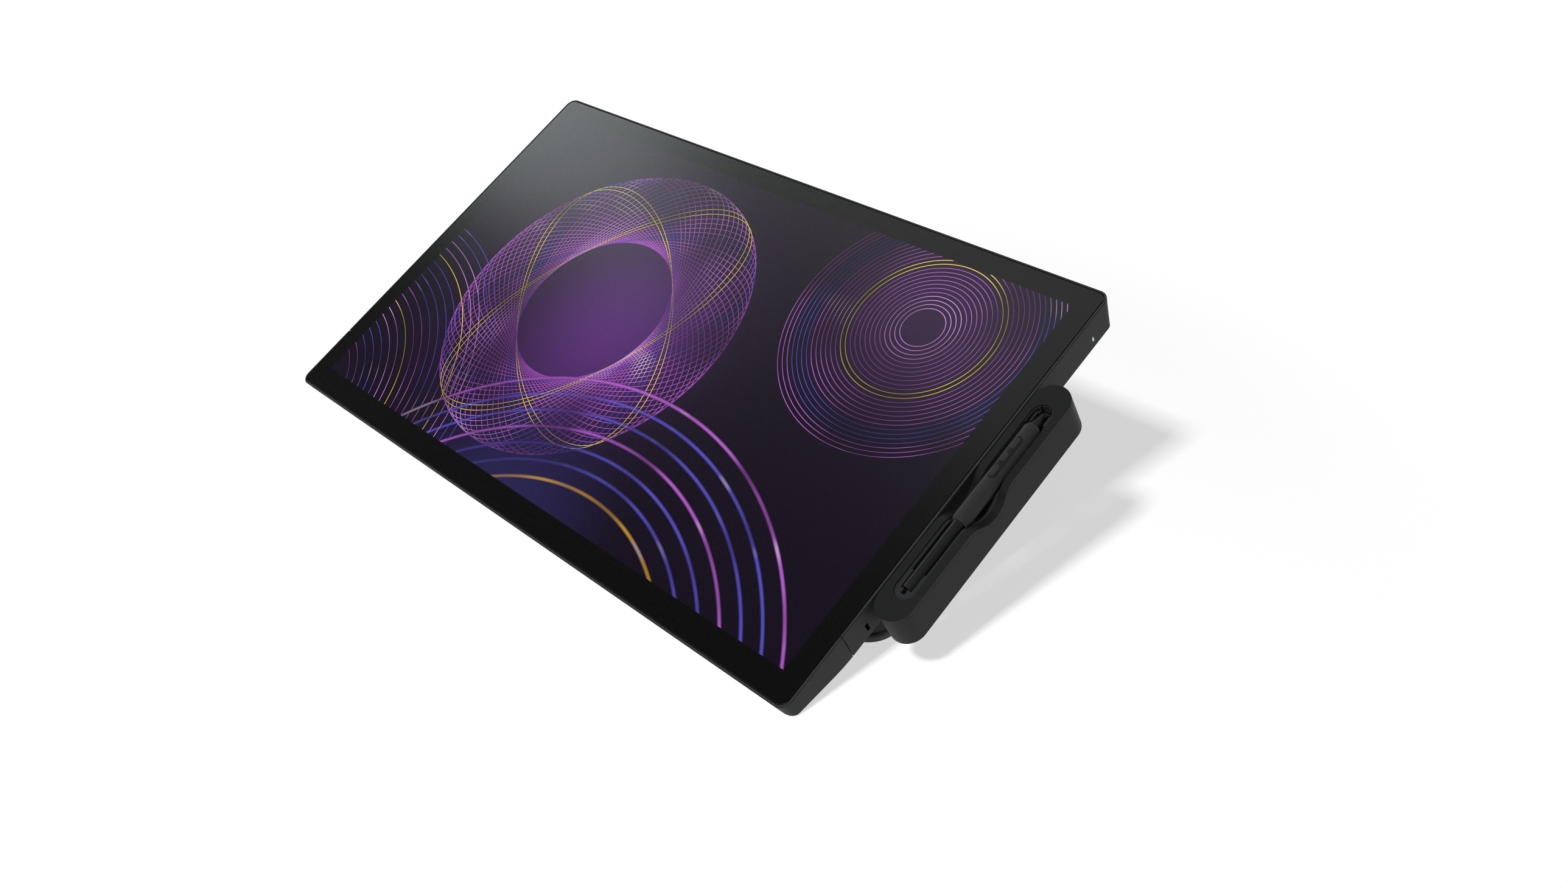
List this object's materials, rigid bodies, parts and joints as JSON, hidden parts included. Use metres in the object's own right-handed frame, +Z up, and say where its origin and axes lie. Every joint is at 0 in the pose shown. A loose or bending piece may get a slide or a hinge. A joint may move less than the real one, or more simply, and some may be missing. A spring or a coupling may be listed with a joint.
{
  "type": "pen display",
  "caption": "Slim drawing tablet with a screen, tilted on a folding desk stand, with a clip-on tray at its side holding a pen with side buttons.",
  "frame": {"origin": "on the desk at the middle of the centre rear foot, straight below the base hinge axis", "axes": "+X to the user's right along the screen, +Y away from the user, +Z up from the desk"},
  "size_m": [0.6677, 0.4057, 0.2066],
  "materials": {
    "shell": "fine matte grain",
    "dark_plastic": "matte",
    "glass": "etched, black border",
    "screen": "dark panel",
    "light_guide": "milky",
    "board": "solder mask",
    "aluminium": "bare",
    "steel": "satin",
    "rubber": "matte",
    "pen_grip": "soft touch",
    "pen_body": "satin",
    "nib": "matte",
    "coil": "enamelled wire",
    "lamp": "lit white"
  },
  "bodies": {
    "base": {"base_casting": "shell", "base_feet": "rubber", "hinge_bracket": "steel", "bracket_screws": "steel", "base_pin": "steel", "hinge_washers": "rubber"},
    "arm": {"arm_beam": "shell"},
    "display": {"cover_glass": "glass", "lcd_cell": "screen", "light_panel": "light_guide", "sensor_board": "board", "shield_sheet": "aluminium", "chassis_tray": "aluminium", "rear_cover": "shell", "front_cover": "shell", "main_board": "board", "power_board": "board", "heat_sink": "aluminium", "fan_case_left": "dark_plastic", "fan_case_right": "dark_plastic", "vent_grille_left": "dark_plastic", "vent_grille_right": "dark_plastic", "port_block": "steel", "key_board_left": "board", "key_board_right": "board", "switch_board": "board", "status_light": "lamp", "cover_screws": "steel", "head_pin": "steel", "head_plate": "steel", "plate_screws": "steel"},
    "tray": {"tray_shell": "shell", "tray_top": "dark_plastic", "tray_liner": "dark_plastic", "tray_floor": "dark_plastic", "tray_bracket": "steel", "nib_holder": "rubber", "spare_nibs": "nib"},
    "pen": {"pen_grip": "pen_grip", "pen_nose": "pen_body", "pen_coil": "coil", "pen_board": "board", "pen_shaft": "pen_body", "pen_button_plate": "dark_plastic"},
    "nib": {"pen_nib": "nib"},
    "power_key": {"power_button": "dark_plastic"},
    "touch_key": {"touch_switch": "dark_plastic"},
    "left_fan": {"fan_rotor_left": "dark_plastic"},
    "right_fan": {"fan_rotor_right": "dark_plastic"},
    "pen_front_button": {"pen_button_front": "pen_body"},
    "pen_middle_button": {"pen_button_middle": "pen_body"},
    "pen_rear_button": {"pen_button_rear": "pen_body"},
    "left_key_1": {"rear_key_left_1": "dark_plastic"},
    "left_key_2": {"rear_key_left_2": "dark_plastic"},
    "left_key_3": {"rear_key_left_3": "dark_plastic"},
    "left_key_4": {"rear_key_left_4": "dark_plastic"},
    "right_key_1": {"rear_key_right_1": "dark_plastic"},
    "right_key_2": {"rear_key_right_2": "dark_plastic"},
    "right_key_3": {"rear_key_right_3": "dark_plastic"},
    "right_key_4": {"rear_key_right_4": "dark_plastic"}
  },
  "joints": [
    {"name": "arm_raise", "type": "hinge", "parent": "base", "child": "arm", "pos_m": [0, 0, 0.026], "axis": [-1, 0, 0], "range_deg": [0, 60]},
    {"name": "display_tilt", "type": "hinge", "parent": "arm", "child": "display", "pos_m": [0, -0.18598, 0.06486], "axis": [1, 0, 0], "range_deg": [0, 108]},
    {"name": "tray_pull", "type": "slide", "parent": "display", "child": "tray", "axis": [1, 0, 0], "range_m": [0, 0.05]},
    {"name": "pen_lift", "type": "slide", "parent": "tray", "child": "pen", "axis": [0, -0.509, 0.8607], "range_m": [0, 0.08]},
    {"name": "nib_press", "type": "slide", "parent": "pen", "child": "nib", "axis": [0, -0.8607, -0.509], "range_m": [0, 0.001], "stiffness_N_per_m": 600},
    {"name": "pen_button_front_press", "type": "slide", "parent": "pen", "child": "pen_front_button", "axis": [0, 0.509, -0.8607], "range_m": [0, 0.0003], "stiffness_N_per_m": 1500},
    {"name": "pen_button_middle_press", "type": "slide", "parent": "pen", "child": "pen_middle_button", "axis": [0, 0.509, -0.8607], "range_m": [0, 0.0003], "stiffness_N_per_m": 1500},
    {"name": "pen_button_rear_press", "type": "slide", "parent": "pen", "child": "pen_rear_button", "axis": [0, 0.509, -0.8607], "range_m": [0, 0.0003], "stiffness_N_per_m": 1500},
    {"name": "rear_key_left_1_press", "type": "slide", "parent": "display", "child": "left_key_1", "axis": [0, -0.509, 0.8607], "range_m": [0, 0.0008], "stiffness_N_per_m": 800},
    {"name": "rear_key_left_2_press", "type": "slide", "parent": "display", "child": "left_key_2", "axis": [0, -0.509, 0.8607], "range_m": [0, 0.0008], "stiffness_N_per_m": 800},
    {"name": "rear_key_left_3_press", "type": "slide", "parent": "display", "child": "left_key_3", "axis": [0, -0.509, 0.8607], "range_m": [0, 0.0008], "stiffness_N_per_m": 800},
    {"name": "rear_key_left_4_press", "type": "slide", "parent": "display", "child": "left_key_4", "axis": [0, -0.509, 0.8607], "range_m": [0, 0.0008], "stiffness_N_per_m": 800},
    {"name": "rear_key_right_1_press", "type": "slide", "parent": "display", "child": "right_key_1", "axis": [0, -0.509, 0.8607], "range_m": [0, 0.0008], "stiffness_N_per_m": 800},
    {"name": "rear_key_right_2_press", "type": "slide", "parent": "display", "child": "right_key_2", "axis": [0, -0.509, 0.8607], "range_m": [0, 0.0008], "stiffness_N_per_m": 800},
    {"name": "rear_key_right_3_press", "type": "slide", "parent": "display", "child": "right_key_3", "axis": [0, -0.509, 0.8607], "range_m": [0, 0.0008], "stiffness_N_per_m": 800},
    {"name": "rear_key_right_4_press", "type": "slide", "parent": "display", "child": "right_key_4", "axis": [0, -0.509, 0.8607], "range_m": [0, 0.0008], "stiffness_N_per_m": 800},
    {"name": "power_press", "type": "slide", "parent": "display", "child": "power_key", "axis": [0, -0.8607, -0.509], "range_m": [0, 0.0006], "stiffness_N_per_m": 1200},
    {"name": "touch_slide", "type": "slide", "parent": "display", "child": "touch_key", "axis": [1, 0, 0], "range_m": [0, 0.004]},
    {"name": "fan_spin_left", "type": "hinge", "parent": "display", "child": "left_fan", "pos_m": [-0.15, -0.12466, 0.14191], "axis": [0, -0.509, 0.8607], "continuous": true},
    {"name": "fan_spin_right", "type": "hinge", "parent": "display", "child": "right_fan", "pos_m": [0.15, -0.12466, 0.14191], "axis": [0, -0.509, 0.8607], "continuous": true}
  ],
  "couplings": [
    {"joint": "display_tilt", "follows": "arm_raise", "ratio": 1.8}
  ]
}
